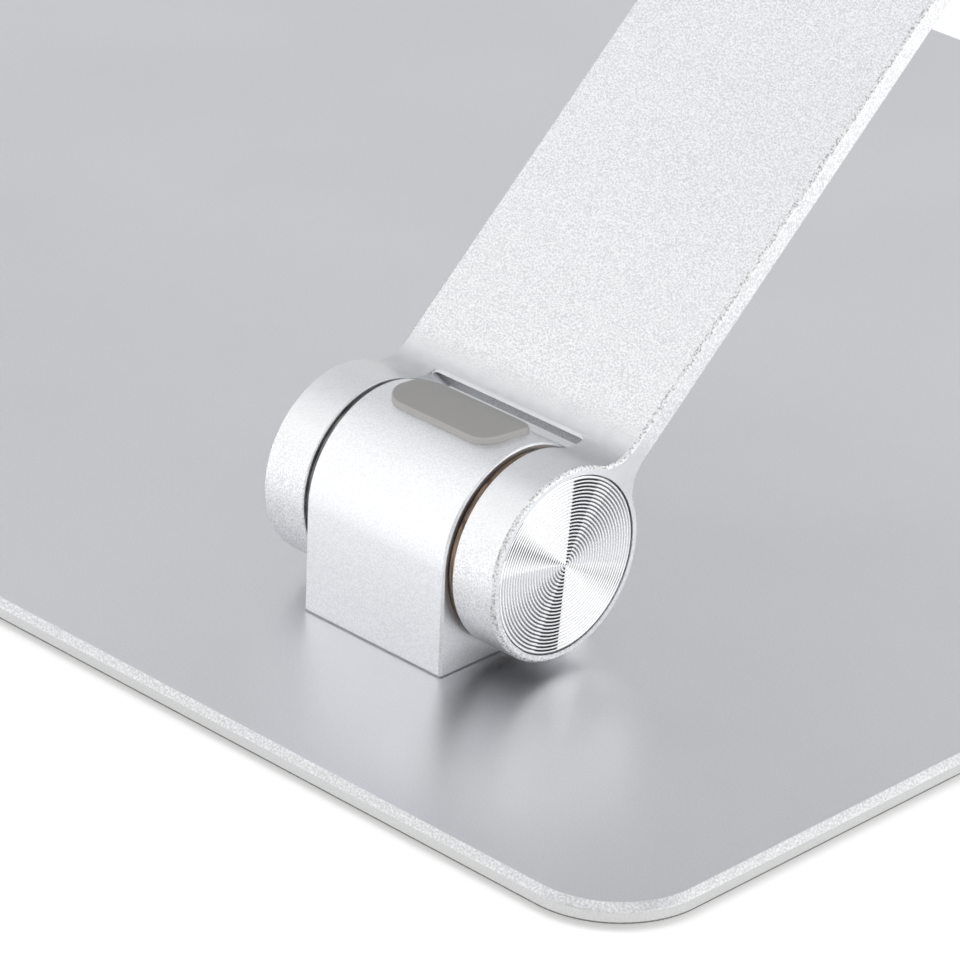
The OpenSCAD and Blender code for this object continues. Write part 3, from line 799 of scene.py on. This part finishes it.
# CAD nodes that stay: fasteners and bushes inside the hinges
for n, o in frame["nodes"].items():
    o.data.materials.clear()
    if "bush" in n or "bronze" in n:
        o.data.materials.append(BRONZE)
    elif any(k in n for k in ("screw", "pin", "nut", "spring", "steel")):
        o.data.materials.append(ZINC)
    elif "pads" in n or "feet" in n:
        o.data.materials.append(SILI)
    elif "plate" in n:
        o.data.materials.append(PLATE)
    elif "caps" in n:
        o.data.materials.append(SPUN)
    else:
        o.data.materials.append(BLAST)

# ---------------------------------------------------------------- stage
bm = new_bm()
bmesh.ops.create_grid(bm, x_segments=1, y_segments=1, size=12000.0)
bmesh.ops.translate(bm, vec=(0, 0, -0.05), verts=bm.verts)     # just clear of the feet's flat soles
floor = finish_bm(bm, "floor", smooth=False)
fm, nt, b = mat("floor_white")
co = coords(nt)
nt.links.new(mixc(nt, noise(nt, co, 3.0), (0.90, 0.90, 0.90), (0.93, 0.93, 0.93)), b.inputs["Base Color"])
b.inputs["Roughness"].default_value = 0.8
b.inputs["Emission Color"].default_value = (1, 1, 1, 1)
# the backdrop is lit from behind away from the object, so it stays pale to the horizon
ln = node(nt, "ShaderNodeVectorMath", operation="LENGTH")
nt.links.new(co, ln.inputs[0])
nt.links.new(ramp_range(nt, ln.outputs["Value"], ((0.6, 0.42), (1.8, 0.85))), b.inputs["Emission Strength"])
floor.data.materials.append(fm)

world = bpy.data.worlds.new("studio")
scene.world = world
world.use_nodes = True
bg = world.node_tree.nodes["Background"]
bg.inputs["Color"].default_value = (1, 1, 1, 1)
bg.inputs["Strength"].default_value = 0.2


def area(name, loc, target, size, power, size_y=None):
    li = bpy.data.lights.new(name, "AREA")
    li.energy = power
    li.shape = "RECTANGLE"
    li.size, li.size_y = size, size_y or size
    o = bpy.data.objects.new(name, li)
    scene.collection.objects.link(o)
    o.location = loc
    o.rotation_euler = (Vector(target) - Vector(loc)).to_track_quat("-Z", "Y").to_euler()
    return o


HUB = Vector((-HINGE_X * MM, LOW[1] * MM, LOW[2] * MM))


def softbox(name, direction, dist, w, h, glow):
    """Soft light on a given side of the hinge; glow is how bright its face looks."""
    d = Vector(direction).normalized()
    o = area(name, HUB + d * dist, HUB, w, glow * math.pi * w * h, h)
    o.visible_camera = False
    return o


softbox("key_softbox", (0.617, 0.70, 0.30), 1.4, 1.3, 1.05, 1.03)
softbox("upper_softbox", (0.617, 0.26, 0.76), 1.5, 1.0, 1.0, 0.86)
softbox("back_softbox", (0.617, -0.647, 0.448), 1.5, 1.8, 1.4, 0.60)
softbox("far_softbox", (-0.36, -0.80, 0.50), 1.4, 1.4, 0.75, 1.0)
softbox("side_softbox", (-0.956, -0.292, 0.36), 0.95, 0.98, 0.7, 1.2)
softbox("top_softbox", (-0.12, 0.25, 1.0), 1.3, 1.5, 1.5, 0.95)
softbox("front_fill", (-0.617, 0.647, 0.448), 1.6, 1.2, 0.8, 0.7)

# ---------------------------------------------------------------- camera
az, el, roll = math.radians(43.6651), math.radians(26.6343), math.radians(2.2518)
back = Vector((-math.sin(az) * math.cos(el), math.cos(az) * math.cos(el), math.sin(el)))
right = (-back).cross(Vector((0, 0, 1))).normalized()
up = right.cross(-back)
r2 = math.cos(roll) * right + math.sin(roll) * up
u2 = -math.sin(roll) * right + math.cos(roll) * up
cam_data = bpy.data.cameras.new("camera")
cam = bpy.data.objects.new("camera", cam_data)
scene.collection.objects.link(cam)
cam_data.sensor_width = 36.0
cam_data.lens = 217.967
cam_data.clip_start, cam_data.clip_end = 0.01, 20
cam.matrix_world = Matrix(((r2.x, u2.x, back.x, (-468.371 - HINGE_X) * MM),
                           (r2.y, u2.y, back.y, (485.215 + LOW[1]) * MM),
                           (r2.z, u2.z, back.z, (357.573 + TOP_Z) * MM),
                           (0, 0, 0, 1)))
scene.camera = cam

scene.view_settings.view_transform = "Standard"
scene.view_settings.look = "None"
